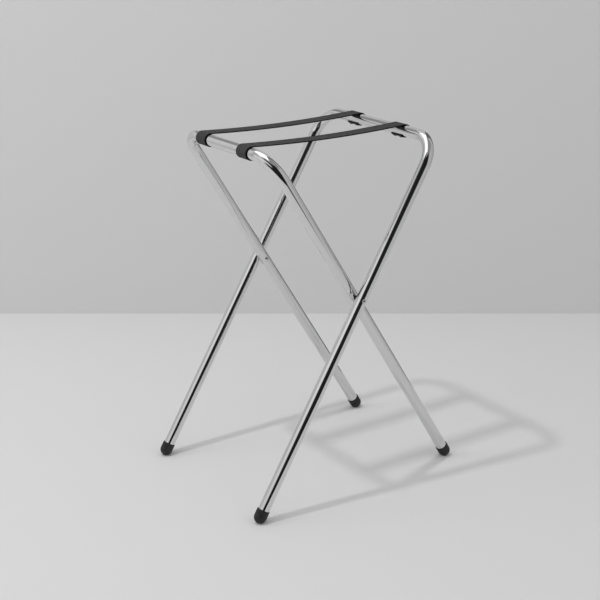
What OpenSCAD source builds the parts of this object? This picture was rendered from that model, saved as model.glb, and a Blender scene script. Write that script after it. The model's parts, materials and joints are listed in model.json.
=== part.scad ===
// Folding tray stand: two bent tube frames cross on a pair of rivets, two webbing
// straps run over both top bars and stop the frames from opening further, and each
// leg ends in a domed rubber cap.
// The stand is open. +Z is up, the top bars run along Y and the front is at -Y.
// The origin is on the floor, under the pivot axis. All lengths are in millimetres.

/* [Stance] */
// Height of the top bars' centre lines above the floor
bar_height = 776; // [700:1:860]
// Distance between the centre lines of the two top bars
bar_span = 400; // [340:1:460]
// Distance between the domes of the outer and the inner frame's feet
foot_span = 532; // [460:1:600]

/* [Tubes] */
// Outside diameter of the bent tube
tube_d = 25; // [20:0.5:30]
// Wall thickness of the tube
tube_wall = 1.2; // [0.8:0.1:2.5]
// Distance between the centre lines of the outer frame's legs
outer_width = 420; // [360:1:480]
// Radius of each bend, at the centre line of the tube
bend_radius = 62; // [45:1:75]

/* [Pivots] */
// Gap between an outer leg and the inner leg that crosses it
leg_gap = 6; // [3:0.5:10]
// Diameter of the moulded spacer in that gap
spacer_d = 12; // [10:0.5:20]
// Diameter of the pivot rivet's shank
pivot_d = 6; // [4:0.5:8]
// Diameter of the rivet's domed head, on the outer leg
pivot_head_d = 11; // [9:0.5:14]
// Height of that head above the side of the tube
pivot_head_height = 2.8; // [1.5:0.1:4]
// Diameter of the washer under the rivet's formed tail
pivot_washer_d = 11.5; // [10.5:0.5:18]
// Thickness of that washer
pivot_washer_thickness = 1.2; // [0.8:0.1:2]
// Diameter of the formed tail, inside the inner leg
pivot_tail_d = 9.5; // [8.5:0.5:10.5]
// Height of the formed tail
pivot_tail_height = 2.4; // [1.5:0.1:4]

/* [Straps] */
// Width of the webbing
strap_width = 39; // [36:1:60]
// Thickness of the webbing
strap_thickness = 2; // [1.2:0.1:3]
// Distance from a strap's outer edge to the start of the inner frame's bend
strap_edge_margin = 14; // [2:0.5:20]
// Depth that the strap hangs below the tops of the bars
strap_sag = 6; // [3:0.5:20]
// Angle by which a strap end passes the underside of its bar, in degrees
strap_end_angle = 54; // [52:1:75]

/* [Strap rivets] */
// Diameter of the rivets that hold the strap ends
strap_rivet_d = 4.8; // [3.2:0.1:6]
// Distance between the two rivets of a strap end
strap_rivet_pitch = 22; // [16:1:24]
// Angle by which those rivets pass the underside of the bar, in degrees
strap_rivet_angle = 30; // [0:1:32]
// Diameter of the rivet's head
strap_rivet_head_d = 9; // [8:0.5:10]
// Height of the rivet's head
strap_rivet_head_height = 1; // [0.8:0.1:3]
// Diameter of the rivet's set end, inside the tube
strap_rivet_bulb_d = 7; // [6.5:0.5:9]
// Length of the set end
strap_rivet_bulb_length = 5; // [3:0.5:7]
// Diameter of the washer between the rivet's head and the webbing
strap_washer_d = 11; // [10.5:0.5:13]
// Thickness of that washer
strap_washer_thickness = 0.6; // [0.5:0.1:2]

/* [Feet] */
// Outside diameter of a foot cap and of its dome
cap_d = 28.4; // [27:0.1:34]
// Length of a cap from its rim to the tip of its dome
cap_length = 30.6; // [24:0.1:44]
// Length of leg inside a cap
cap_grip = 18; // [12:0.5:24]
// Bevel at the cap's rim
cap_rim_bevel = 0.5; // [0.1:0.1:0.8]
// Depth of the flat that the dome stands on
cap_flat_depth = 0.7; // [0.3:0.1:1.5]

/* [Fits] */
// Radial clearance of the pivot rivet in the legs, the spacer and the washer
pivot_clearance = 0.08; // [0.02:0.01:0.1]
// Radial clearance of the strap rivets in the tube
strap_rivet_clearance = 0.05; // [0.02:0.01:0.2]
// Gap between pieces that slide past each other at the pivot
running_gap = 0.3; // [0.1:0.05:0.5]
// Gap between the webbing and the pieces next to it
strap_gap = 0.3; // [0.1:0.05:0.6]
// Gap between pieces that are pressed or clamped together
seat_gap = 0.03; // [0.01:0.01:0.1]

/* [Hidden] */
$fn = 96;
// Steps of the strap's outline round a bar and across the span
wrap_steps = 30;
span_steps = 24;
// Overrun of a cut past the face that it opens
overrun = 1;

// Sides of the stand
front = -1;
rear = 1;
// Sides of the top bars: the outer frame's bar is at +X, the inner frame's at -X
outer_bar = 1;
inner_bar = -1;
sides = [front, rear];

// Leg geometry, from the centre of a foot's dome to the top bar
tube_r = tube_d / 2;
bore_r = tube_r - tube_wall;
cap_r = cap_d / 2;
foot_z = cap_r - cap_flat_depth;
lean = atan2((bar_span + foot_span) / 2, bar_height - foot_z);
pivot_z = bar_height - bar_span / 2 / tan(lean);
arm_up = (bar_height - pivot_z) / cos(lean);
arm_down = (pivot_z - foot_z) / cos(lean);
cap_rim = cap_length - cap_r - arm_down;
leg_end = cap_rim - cap_grip;

// Widths, measured out from the middle of the stand
inner_width = outer_width - 2 * (tube_d + leg_gap);
outer_half = outer_width / 2;
inner_half = inner_width / 2;
strap_y = inner_half - bend_radius - strap_edge_margin - strap_width / 2;

// Stations along the pivot axis
outer_face = outer_half + tube_r;
head_cup = tube_r - sqrt(pow(tube_r, 2) - pow(pivot_head_d / 2, 2));
spacer_face = inner_half + tube_r + running_gap;
washer_face = inner_half - tube_r - running_gap;
tail_face = washer_face - pivot_washer_thickness - seat_gap;

// Strap path: an arc round each bar and one shallow arc that touches both
strap_r = tube_r + strap_gap;
strap_mid_r = strap_r + strap_thickness / 2;
span_reach = (pow(bar_span / 2, 2) + pow(strap_sag, 2)) / (2 * strap_sag);
span_r = span_reach - strap_mid_r;
span_z = bar_height + span_reach - strap_sag;
leave_angle = asin(bar_span / 2 / span_reach);
bottom_angle = 270;
wrap_start = bottom_angle - strap_end_angle;
wrap_sweep = 180 + strap_end_angle + leave_angle;

// Points of an arc in the XZ plane, from one angle to another
function arc(x, z, radius, from, sweep, steps) =
    [for (k = [0 : steps]) let (a = from + sweep * k / steps) [x + radius * cos(a), z + radius * sin(a)]];

// Line of the strap at one height in its thickness, from under the outer bar to under the inner bar
function strap_line(height) =
    let (
        wrap = arc(bar_span / 2, bar_height, strap_mid_r + height, wrap_start, wrap_sweep, wrap_steps),
        span = arc(0, span_z, span_r - height, bottom_angle + leave_angle, -2 * leave_angle, span_steps)
    )
    concat(
        wrap,
        [for (k = [1 : span_steps - 1]) span[k]],
        [for (k = [wrap_steps : -1 : 0]) [-wrap[k][0], wrap[k][1]]]
    );

function reversed(points) = [for (k = [len(points) - 1 : -1 : 0]) points[k]];

// Stations of a strap rivet, measured down from the bar's centre line
strap_rivet_r = strap_rivet_d / 2;
strap_washer_face = strap_r + strap_thickness + strap_gap;
strap_washer_r = strap_washer_face + strap_washer_thickness;
strap_head_cup = strap_washer_r - sqrt(pow(strap_washer_r, 2) - pow(strap_rivet_head_d / 2, 2));
bulb_face = sqrt(pow(bore_r, 2) - pow(strap_rivet_bulb_d / 2, 2)) - seat_gap;

chrome_colour = [0.80, 0.81, 0.82];
steel_colour = [0.66, 0.67, 0.68];
black_steel_colour = [0.12, 0.12, 0.12];
rubber_colour = [0.10, 0.10, 0.10];
webbing_colour = [0.14, 0.14, 0.15];
nylon_colour = [0.07, 0.07, 0.08];

// Places a frame that is drawn upright round the pivot axis, leaning to its bar's side
module leaning(bar) {
    translate([0, 0, pivot_z])
        rotate([0, bar * lean, 0])
            children();
}

// Turns +Z out along the pivot axis, towards the front or the rear
module along_pivot(side) {
    translate([0, 0, pivot_z])
        rotate([-side * 90, 0, 0])
            children();
}

// Turns +Z down from a bar's centre line and in towards the middle, at one place along the bar
module below_bar(bar, y) {
    translate([bar * bar_span / 2, y, bar_height])
        rotate([0, 180 + bar * strap_rivet_angle, 0])
            children();
}

// Repeats a piece at both rivets of a strap end
module at_strap_rivets(bar, side) {
    for (step = [-1, 1])
        below_bar(bar, side * strap_y + step * strap_rivet_pitch / 2)
            children();
}

// Flat ring between two stations of an axis
module ring(outer_d, hole_r, low, high) {
    translate([0, 0, low])
        difference() {
            cylinder(d = outer_d, h = high - low);
            translate([0, 0, -overrun])
                cylinder(r = hole_r, h = high - low + 2 * overrun);
        }
}

// Spherical cap of a given diameter and height, flat side down
module dome(diameter, height) {
    ball_r = (pow(diameter / 2, 2) + pow(height, 2)) / (2 * height);
    intersection() {
        translate([0, 0, height - ball_r])
            sphere(r = ball_r);
        cylinder(d = diameter, h = height);
    }
}

// Round rod along one bent frame, with its legs run on by an extra length
module bent_rod(half, radius, extra) {
    straight_half = half - bend_radius;
    bend_z = arm_up - bend_radius;
    translate([0, -straight_half, arm_up])
        rotate([-90, 0, 0])
            cylinder(r = radius, h = 2 * straight_half);
    for (side = sides)
        mirror([0, side == front ? 1 : 0, 0]) {
            translate([0, straight_half, bend_z])
                rotate([90, 0, 90])
                    rotate_extrude(angle = 90)
                        translate([bend_radius, 0])
                            circle(r = radius);
            translate([0, half, leg_end - extra])
                cylinder(r = radius, h = bend_z - leg_end + extra);
        }
}

// Bent tube with its pivot holes and the rivet holes under its bar
module frame_tube(bar, half) {
    color(chrome_colour)
        difference() {
            leaning(bar)
                bent_rod(half, tube_r, 0);
            leaning(bar)
                bent_rod(half, bore_r, overrun);
            for (side = sides) {
                along_pivot(side)
                    translate([0, 0, half - tube_r - overrun])
                        cylinder(d = pivot_d + 2 * pivot_clearance, h = tube_d + 2 * overrun);
                at_strap_rivets(bar, side)
                    cylinder(r = strap_rivet_r + strap_rivet_clearance, h = tube_r + overrun);
            }
        }
}

module outer_frame() {
    frame_tube(outer_bar, outer_half);
}

module inner_frame() {
    frame_tube(inner_bar, inner_half);
}

// Outside of one outer leg, grown by the seat gap, for pieces that cup it
module outer_leg_seat(side) {
    leaning(outer_bar)
        translate([0, side * outer_half, -spacer_d])
            cylinder(r = tube_r + seat_gap, h = 2 * spacer_d);
}

// Rivet through both legs: a domed head that cups the outer leg, a plain shank and a formed tail
module pivot_rivet(side) {
    color(steel_colour) {
        difference() {
            along_pivot(side)
                translate([0, 0, outer_face - head_cup])
                    dome(pivot_head_d, pivot_head_height + head_cup);
            outer_leg_seat(side);
        }
        along_pivot(side) {
            translate([0, 0, tail_face])
                cylinder(d = pivot_d, h = outer_face - tail_face + pivot_head_height / 2);
            translate([0, 0, tail_face])
                mirror([0, 0, 1])
                    dome(pivot_tail_d, pivot_tail_height);
        }
    }
}

// Spacer with a saddle for the outer leg and a flat face for the inner leg to turn against
module pivot_spacer(side) {
    color(nylon_colour)
        difference() {
            along_pivot(side)
                ring(spacer_d, pivot_d / 2 + pivot_clearance, spacer_face, outer_half);
            outer_leg_seat(side);
        }
}

module pivot_washer(side) {
    color(steel_colour)
        along_pivot(side)
            ring(pivot_washer_d, pivot_d / 2 + pivot_clearance, washer_face - pivot_washer_thickness, washer_face);
}

// Strap over both bars, with its ends drawn round the outside and under each bar
module strap(side) {
    color(webbing_colour)
        difference() {
            translate([0, side * strap_y + strap_width / 2, 0])
                rotate([90, 0, 0])
                    linear_extrude(height = strap_width)
                        polygon(concat(strap_line(strap_thickness / 2), reversed(strap_line(-strap_thickness / 2))));
            for (bar = [outer_bar, inner_bar])
                at_strap_rivets(bar, side)
                    translate([0, 0, tube_r])
                        cylinder(r = strap_rivet_r + strap_gap, h = 2 * strap_thickness);
        }
}

// Rod along the bar's centre line, at a piece that is drawn below the bar
module bar_rod(radius) {
    translate([0, strap_washer_d, 0])
        rotate([90, 0, 0])
            cylinder(r = radius, h = 2 * strap_washer_d);
}

// Pair of blind rivets: a low domed head that cups its washer and a set end inside the tube
module strap_rivets(bar, side) {
    color(black_steel_colour)
        at_strap_rivets(bar, side) {
            difference() {
                translate([0, 0, strap_washer_r - strap_head_cup])
                    dome(strap_rivet_head_d, strap_rivet_head_height + strap_head_cup);
                bar_rod(strap_washer_r + seat_gap);
            }
            translate([0, 0, bulb_face - strap_rivet_bulb_length])
                cylinder(d = strap_rivet_bulb_d, h = strap_rivet_bulb_length);
            translate([0, 0, bulb_face])
                cylinder(r = strap_rivet_r, h = strap_washer_r + strap_rivet_head_height / 2 - bulb_face);
        }
}

// Pair of washers that are formed to the curve of the webbing
module strap_washers(bar, side) {
    color(black_steel_colour)
        at_strap_rivets(bar, side)
            difference() {
                intersection() {
                    ring(strap_washer_d, strap_rivet_r + strap_rivet_clearance, 0, strap_washer_r);
                    bar_rod(strap_washer_r);
                }
                bar_rod(strap_washer_face);
            }
}

// Cap with a bevelled rim and a domed tip, cut flat where it stands on the floor
module foot_cap(bar, half, side) {
    color(rubber_colour)
        difference() {
            leaning(bar)
                translate([0, side * half, 0]) {
                    difference() {
                        union() {
                            translate([0, 0, -arm_down])
                                sphere(r = cap_r);
                            translate([0, 0, -arm_down])
                                cylinder(r = cap_r, h = cap_rim + arm_down - cap_rim_bevel);
                            translate([0, 0, cap_rim - cap_rim_bevel])
                                cylinder(r1 = cap_r, r2 = cap_r - cap_rim_bevel, h = cap_rim_bevel);
                        }
                        translate([0, 0, leg_end])
                            cylinder(r = tube_r + seat_gap, h = cap_grip + overrun);
                    }
                }
            translate([-bar * foot_span / 2 - cap_r, side * half - cap_r, -cap_d])
                cube(cap_d);
        }
}

outer_frame();
inner_frame();
pivot_rivet(front);  // front_pivot_rivet
pivot_rivet(rear);  // rear_pivot_rivet
pivot_spacer(front);  // front_pivot_spacer
pivot_spacer(rear);  // rear_pivot_spacer
pivot_washer(front);  // front_pivot_washer
pivot_washer(rear);  // rear_pivot_washer
strap(front);  // front_strap
strap(rear);  // rear_strap
strap_rivets(outer_bar, front);  // outer_front_strap_rivets
strap_rivets(outer_bar, rear);  // outer_rear_strap_rivets
strap_rivets(inner_bar, front);  // inner_front_strap_rivets
strap_rivets(inner_bar, rear);  // inner_rear_strap_rivets
strap_washers(outer_bar, front);  // outer_front_strap_washers
strap_washers(outer_bar, rear);  // outer_rear_strap_washers
strap_washers(inner_bar, front);  // inner_front_strap_washers
strap_washers(inner_bar, rear);  // inner_rear_strap_washers
foot_cap(outer_bar, outer_half, front);  // outer_front_foot
foot_cap(outer_bar, outer_half, rear);  // outer_rear_foot
foot_cap(inner_bar, inner_half, front);  // inner_front_foot
foot_cap(inner_bar, inner_half, rear);  // inner_rear_foot
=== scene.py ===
"""Looks of the folding tray stand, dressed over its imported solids.

Two bent chrome tubes cross on a pair of rivets, two webbing straps run over both top bars and
each leg ends in a domed rubber cap. All lengths are in metres, in the frame of the solids:
+Z is up, the top bars run along Y, the front is at -Y and the floor is at zero.
"""

from __future__ import annotations

import json
import logging
from dataclasses import dataclass
from enum import Enum
from functools import cache, partial, reduce
from math import asin, atan2, copysign, cos, pi, radians, sin, sqrt, tan, tau
from typing import Any, Mapping, Sequence

import bmesh
import bpy
from bpy.types import Material, Mesh, Node, NodeSocket, NodeTree, Object
from mathutils import Matrix, Vector

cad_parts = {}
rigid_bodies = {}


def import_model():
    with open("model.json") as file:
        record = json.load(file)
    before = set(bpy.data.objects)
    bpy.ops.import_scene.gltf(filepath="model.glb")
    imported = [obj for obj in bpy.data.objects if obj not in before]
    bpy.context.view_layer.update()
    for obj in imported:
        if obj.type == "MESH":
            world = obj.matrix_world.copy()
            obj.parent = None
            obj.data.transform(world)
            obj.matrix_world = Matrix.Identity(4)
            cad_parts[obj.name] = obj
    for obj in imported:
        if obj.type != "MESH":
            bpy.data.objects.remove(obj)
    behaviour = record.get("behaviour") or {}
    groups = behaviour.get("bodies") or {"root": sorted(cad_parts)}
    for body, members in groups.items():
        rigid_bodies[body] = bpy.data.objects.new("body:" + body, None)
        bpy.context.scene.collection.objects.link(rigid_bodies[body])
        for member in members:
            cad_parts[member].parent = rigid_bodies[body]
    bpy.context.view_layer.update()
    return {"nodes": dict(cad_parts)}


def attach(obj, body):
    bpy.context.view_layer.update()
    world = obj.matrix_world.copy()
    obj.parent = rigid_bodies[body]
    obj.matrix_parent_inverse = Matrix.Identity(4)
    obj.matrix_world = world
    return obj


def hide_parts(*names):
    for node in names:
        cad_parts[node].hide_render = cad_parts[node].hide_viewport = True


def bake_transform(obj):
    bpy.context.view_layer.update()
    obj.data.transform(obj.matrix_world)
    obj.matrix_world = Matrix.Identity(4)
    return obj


LOG = logging.getLogger("tray_stand")
RIGHT_ANGLE = pi / 2
SHARP_ANGLE = 0.7
SAME_PLACE = 1e-7
VIEW_TURN = radians(-35.961)
WEBBING_WIDTH = 0.039
WEBBING_UV = "webbing_uv"
FUSED = "fused"
GRAIN_DETAIL = (2.0, 4.0)
CHEVRON_SHIFT = 0.25
CROWN_POWER = 0.6
FLOAT_POWER = 0.5
THREAD_EDGE = (0.15, 0.7)

Pair = tuple[float, float]
Triple = tuple[float, float, float]
Edges = tuple[float, float, float, float]
Profile = list[Pair]
Row = list[bmesh.types.BMVert]


class Worded(Enum):
    """Choice whose name is a part of the solids' names."""

    @property
    def word(self) -> str:
        """Name of the choice, as the solids' names hold it."""
        return self.name.lower()


class Side(Worded):
    """Side of the stand, as the sign of Y."""

    FRONT = -1
    REAR = 1


class Leg(Worded):
    """One of the two bent frames, as the sign of X at its top bar."""

    OUTER = 1
    INNER = -1

    @property
    def body(self) -> str:
        """Body that the frame's pieces ride on."""
        return f"{self.word}_leg_frame"

    @property
    def tube(self) -> str:
        """Name of the frame's finished tube."""
        return f"{self.word}_bent_tube"


class Slot(Enum):
    """Material slots of the record."""

    CHROME = "chrome_tube"
    STEEL = "rivet_steel"
    BLACK = "strap_rivet_black"
    NYLON = "spacer_nylon"
    WEBBING = "strap_webbing"
    RUBBER = "foot_rubber"


@dataclass(frozen=True)
class Graph:
    """Adds and links the nodes of one node tree."""

    tree: NodeTree

    def put(self, socket: NodeSocket, value: Any) -> None:
        """Link an output to an input, or set the input's own value.

        Args:
            socket: Input to fill.
            value: Output socket or plain value.
        """
        if isinstance(value, NodeSocket):
            self.tree.links.new(value, socket)
        else:
            socket.default_value = value

    def add(self, kind: str, inputs: Mapping[Any, Any] | None = None, **settings: Any) -> Node:
        """Add a node, set its properties, and set or link its inputs.

        Args:
            kind: Type name of the node.
            inputs: Values or output sockets, by the input's name or index.
            settings: Properties of the node itself.

        Returns:
            The new node.
        """
        node = self.tree.nodes.new(kind)
        for name, value in settings.items():
            setattr(node, name, value)
        for key, value in (inputs or {}).items():
            self.put(node.inputs[key], value)
        return node

    def math(self, operation: str, *values: Any) -> NodeSocket:
        """Add a Math node and return its result."""
        return self.add("ShaderNodeMath", dict(enumerate(values)), operation=operation).outputs[0]

    def times(self, *factors: Any) -> NodeSocket:
        """Multiply values or sockets in turn."""
        return reduce(partial(self.math, "MULTIPLY"), factors)

    def ramp(self, value: NodeSocket, span: Pair, ends: Pair = (0.0, 1.0)) -> NodeSocket:
        """Map a value's range smoothly onto another range.

        Args:
            value: Socket to map.
            span: Values at which the change starts and ends.
            ends: Results before the change and past it.

        Returns:
            The mapped value.
        """
        names = ("Value", "From Min", "From Max", "To Min", "To Max")
        inputs = dict(zip(names, (value, *span, *ends)))
        node = self.add("ShaderNodeMapRange", inputs, interpolation_type="SMOOTHSTEP")
        return node.outputs["Result"]

    def between(self, value: NodeSocket, edges: Edges) -> NodeSocket:
        """Mask of the values between two soft edges, each given by its start and its end."""
        return self.times(self.ramp(value, edges[:2]), self.ramp(value, edges[2:], (1.0, 0.0)))

    def tint(self, factor: Any, low: Any, high: Any) -> NodeSocket:
        """Mix two colours.

        Args:
            factor: Share of the second colour.
            low: First colour, or a socket that gives it.
            high: Second colour, or a socket that gives it.

        Returns:
            The mixed colour.
        """
        node = self.add("ShaderNodeMix", {"Factor": factor}, data_type="RGBA")
        ends = [socket for socket in node.inputs if socket.type == "RGBA"]
        for socket, colour in zip(ends, (low, high)):
            self.put(socket, colour if isinstance(colour, NodeSocket) else (*colour, 1.0))
        return next(socket for socket in node.outputs if socket.type == "RGBA")


def grey(tone: float) -> Triple:
    """Colour without a hue."""
    return (tone, tone, tone)


def node_group(
    kind: str, name: str, inputs: Mapping[str, str], outputs: Mapping[str, str]
) -> tuple[Graph, Node, Node]:
    """Make a node group with named sockets.

    Args:
        kind: Kind of the tree, Shader or Geometry.
        name: Name of the group.
        inputs: Kind of each input, by name.
        outputs: Kind of each output, by name.

    Returns:
        The group's graph, its input node and its output node.
    """
    tree = bpy.data.node_groups.new(name, f"{kind}NodeTree")
    for way, sockets in (("INPUT", inputs), ("OUTPUT", outputs)):
        for socket, socket_kind in sockets.items():
            tree.interface.new_socket(socket, in_out=way, socket_type=f"NodeSocket{socket_kind}")
    graph = Graph(tree)
    return graph, graph.add("NodeGroupInput"), graph.add("NodeGroupOutput")


@cache
def grain_group() -> NodeTree:
    """Shared group for fine grain and the broad cloudiness that comes with it.

    Returns:
        A shader group with the outputs Fine and Broad, both from 0 to 1.
    """
    inputs = {"Vector": "Vector", "Scale": "Float", "Breadth": "Float"}
    outputs = {"Fine": "Float", "Broad": "Float"}
    graph, given, result = node_group("Shader", "surface_grain", inputs, outputs)
    vector, scale, breadth = (given.outputs[name] for name in inputs)
    scales = (scale, graph.math("DIVIDE", scale, breadth))
    for name, size, detail in zip(outputs, scales, GRAIN_DETAIL):
        look = {"Vector": vector, "Scale": size, "Detail": detail}
        graph.put(result.inputs[name], graph.add("ShaderNodeTexNoise", look).outputs["Fac"])
    return graph.tree


@cache
def weave_group() -> NodeTree:
    """Shared group for the herringbone weave of the webbing, on coordinates in metres.

    Returns:
        A shader group with the outputs Height and Thread, from 0 in a gap to 1 on a thread, and
        Yarn, a tone of its own for each lengthwise yarn.
    """
    pitches = {"Yarn Pitch": "Float", "Pick Pitch": "Float", "Yarns per Chevron": "Float"}
    outputs = {"Height": "Float", "Thread": "Float", "Yarn": "Float"}
    graph, given, result = node_group(
        "Shader", "herringbone_weave", {"UV": "Vector", **pitches}, outputs
    )
    yarn_pitch, pick_pitch, yarns = (given.outputs[name] for name in pitches)
    place = graph.add("ShaderNodeSeparateXYZ", {0: given.outputs["UV"]}).outputs
    across = graph.math("DIVIDE", place["X"], yarn_pitch)
    along = graph.math("DIVIDE", place["Y"], pick_pitch)
    yarn = graph.math("FLOOR", across)
    chevron = graph.math("PINGPONG", yarn, yarns)
    phase = graph.math("ADD", along, graph.times(chevron, CHEVRON_SHIFT))
    crown = graph.math("SINE", graph.times(graph.math("FRACT", across), pi))
    yarn_float = graph.math("ABSOLUTE", graph.math("SINE", graph.times(phase, pi)))
    height = graph.times(
        graph.math("POWER", crown, CROWN_POWER), graph.math("POWER", yarn_float, FLOAT_POWER)
    )
    noise = graph.add("ShaderNodeTexWhiteNoise", {"W": yarn}, noise_dimensions="1D")
    thread = graph.ramp(height, THREAD_EDGE)
    for name, socket in zip(outputs, (height, thread, noise.outputs["Value"])):
        graph.put(result.inputs[name], socket)
    return graph.tree


@dataclass(frozen=True)
class Canvas(Graph):
    """Node tree of one material, with what its finish works on."""

    shader: Node
    where: NodeSocket
    fine: NodeSocket
    broad: NodeSocket

    def set(self, **values: float) -> None:
        """Set constants on the shader's own sockets, named with underscores for spaces."""
        for name, value in values.items():
            self.shader.inputs[name.replace("_", " ")].default_value = value

    def feed(self, name: str, socket: NodeSocket) -> None:
        """Link a socket to the shader's input of that name."""
        self.put(self.shader.inputs[name], socket)

    def bump(self, height: NodeSocket, depth: float) -> None:
        """Feed a height of a given depth in metres to the shader's normal."""
        relief = {"Strength": 1.0, "Distance": depth, "Height": height}
        self.feed("Normal", self.add("ShaderNodeBump", relief).outputs["Normal"])


@dataclass(frozen=True, kw_only=True)
class Finish:
    """Base of the finishes: a name, the record's slot and the scale of its grain."""

    name: str
    slot: Slot
    grain_size: float
    grain_breadth: float

    @cache
    def material(self) -> Material:
        """Build the material, once for each finish.

        Returns:
            The finished material.
        """
        made = bpy.data.materials.new(self.name)
        made.use_nodes = True
        graph = Graph(made.node_tree)
        where = graph.add("ShaderNodeTexCoord").outputs["Object"]
        look = {"Vector": where, "Scale": 1.0 / self.grain_size, "Breadth": self.grain_breadth}
        grain = graph.add("ShaderNodeGroup", look, node_tree=grain_group()).outputs
        shader = graph.tree.nodes["Principled BSDF"]
        self.dress(Canvas(graph.tree, shader, where, grain["Fine"], grain["Broad"]))
        return made

    def dress(self, canvas: Canvas) -> None:
        """Set and link the shader's sockets; each finish has its own way."""
        raise NotImplementedError


@dataclass(frozen=True, kw_only=True)
class MetalFinish(Finish):
    """Plated or coated metal: mirror to satin, with a faint cloudiness in its gloss."""

    metallic: float = 1.0
    tone: Triple
    cloudy_tone: Triple
    gloss: Pair
    ripple: float
    cloud: Pair = (0.1, 0.45)

    def dress(self, canvas: Canvas) -> None:
        """Set the metal's tone, its gloss and the ripple of its surface.

        Args:
            canvas: Material to dress.
        """
        canvas.set(Metallic=self.metallic)
        cloud = canvas.times(canvas.broad, canvas.fine)
        canvas.feed("Base Color", canvas.tint(canvas.broad, self.tone, self.cloudy_tone))
        canvas.feed("Roughness", canvas.ramp(cloud, self.cloud, self.gloss))
        canvas.bump(canvas.broad, self.ripple)


@dataclass(frozen=True, kw_only=True)
class MouldedFinish(Finish):
    """Moulded rubber or nylon: a fine matt grain, and scuffs where it meets the floor."""

    tone: Triple
    worn_tone: Triple
    gloss: Pair
    grain_depth: float
    grain: Pair = (0.3, 0.7)
    specular: float = 0.4
    scuff: Pair = (0.42, 0.62)
    scuff_height: float = 0.006
    bloom: Pair = (0.4, 0.75)
    bloom_share: float = 0.25

    def dress(self, canvas: Canvas) -> None:
        """Set the tone with its scuffs, the gloss and the grain.

        Args:
            canvas: Material to dress.
        """
        canvas.set(Specular_IOR_Level=self.specular)
        height = canvas.add("ShaderNodeSeparateXYZ", {0: canvas.where}).outputs["Z"]
        low = canvas.ramp(height, (0.0, self.scuff_height), (1.0, 0.0))
        scuffed = canvas.times(low, canvas.ramp(canvas.broad, self.scuff))
        bloom = canvas.times(canvas.ramp(canvas.broad, self.bloom), self.bloom_share)
        worn = canvas.math("MAXIMUM", scuffed, bloom)
        canvas.feed("Base Color", canvas.tint(worn, self.tone, self.worn_tone))
        canvas.feed("Roughness", canvas.ramp(canvas.fine, self.grain, self.gloss))
        canvas.bump(canvas.fine, self.grain_depth)


@dataclass(frozen=True, kw_only=True)
class WebbingFinish(Finish):
    """Woven webbing: herringbone yarns, painted shade in the gaps between them, a darker selvedge
    with painted shade along the edges, and ends fused by heat.
    """

    thread_tone: Triple
    gap_tone: Triple
    yarn_pitch: float
    pick_pitch: float
    yarns_per_chevron: int
    weave_depth: float
    selvedge: float
    selvedge_shade: float
    specular: float = 0.1
    sheen: float = 0.03
    sheen_roughness: float = 0.5
    yarn_shades: Pair = (0.82, 1.0)
    cloud: Pair = (0.3, 0.7)
    cloud_shades: Pair = (0.86, 1.0)
    gloss: Pair = (0.82, 0.35)
    fuzz: float = 0.25

    def dress(self, canvas: Canvas) -> None:
        """Set the yarns' tones, the painted shade in the gaps and at the edges, the fused ends and
        the relief of the weave.

        Args:
            canvas: Material to dress.
        """
        canvas.set(Specular_IOR_Level=self.specular)
        canvas.set(Sheen_Weight=self.sheen, Sheen_Roughness=self.sheen_roughness)
        uv = canvas.add("ShaderNodeUVMap", uv_map=WEBBING_UV).outputs["UV"]
        fused = canvas.add("ShaderNodeAttribute", attribute_name=FUSED).outputs["Fac"]
        pitches = {
            "Yarn Pitch": self.yarn_pitch,
            "Pick Pitch": self.pick_pitch,
            "Yarns per Chevron": self.yarns_per_chevron,
        }
        kind = "ShaderNodeGroup"
        weave = canvas.add(kind, {"UV": uv, **pitches}, node_tree=weave_group()).outputs
        woven = canvas.math("SUBTRACT", 1.0, fused)
        place = canvas.add("ShaderNodeSeparateXYZ", {0: uv}).outputs["X"]
        to_edge = canvas.math("PINGPONG", place, WEBBING_WIDTH / 2)
        shade = canvas.times(
            # Painted shade: the colour darkens in the gaps between the yarns.
            weave["Thread"],
            canvas.ramp(weave["Yarn"], (0.0, 1.0), self.yarn_shades),
            canvas.ramp(canvas.broad, self.cloud, self.cloud_shades),
            # Darker selvedge, with painted shade on the strap's edges and side faces.
            canvas.ramp(to_edge, (0.0, self.selvedge), (self.selvedge_shade, 1.0)),
            woven,
        )
        canvas.feed("Base Color", canvas.tint(shade, self.gap_tone, self.thread_tone))
        canvas.feed("Roughness", canvas.ramp(fused, (0.0, 1.0), self.gloss))
        fuzz = canvas.times(canvas.fine, self.fuzz)
        relief = canvas.math("ADD", weave["Height"], fuzz)
        canvas.bump(canvas.times(relief, woven), self.weave_depth)


CHROME = MetalFinish(
    name="polished_chrome", slot=Slot.CHROME, grain_size=0.0016, grain_breadth=14.0,
    tone=grey(0.722), cloudy_tone=grey(0.75), gloss=(0.035, 0.075), ripple=0.00001,
)
STEEL = MetalFinish(
    name="rivet_steel", slot=Slot.STEEL, grain_size=0.0006, grain_breadth=6.0,
    tone=(0.63, 0.63, 0.625), cloudy_tone=(0.72, 0.72, 0.715), gloss=(0.1, 0.22), ripple=0.00002,
)
BLACK = MetalFinish(
    name="strap_rivet_black", slot=Slot.BLACK, grain_size=0.0005, grain_breadth=8.0, metallic=0.0,
    tone=(0.018, 0.018, 0.0185), cloudy_tone=grey(0.04), gloss=(0.34, 0.5), ripple=0.00003,
)
NYLON = MouldedFinish(
    name="spacer_nylon", slot=Slot.NYLON, grain_size=0.0004, grain_breadth=12.0,
    tone=(0.012, 0.012, 0.013), worn_tone=grey(0.03), gloss=(0.36, 0.5), grain_depth=0.00004,
)
RUBBER = MouldedFinish(
    name="foot_rubber", slot=Slot.RUBBER, grain_size=0.0005, grain_breadth=10.0,
    tone=(0.013, 0.013, 0.0134), worn_tone=(0.06, 0.06, 0.059), gloss=(0.5, 0.66),
    grain_depth=0.00006,
)
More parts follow.
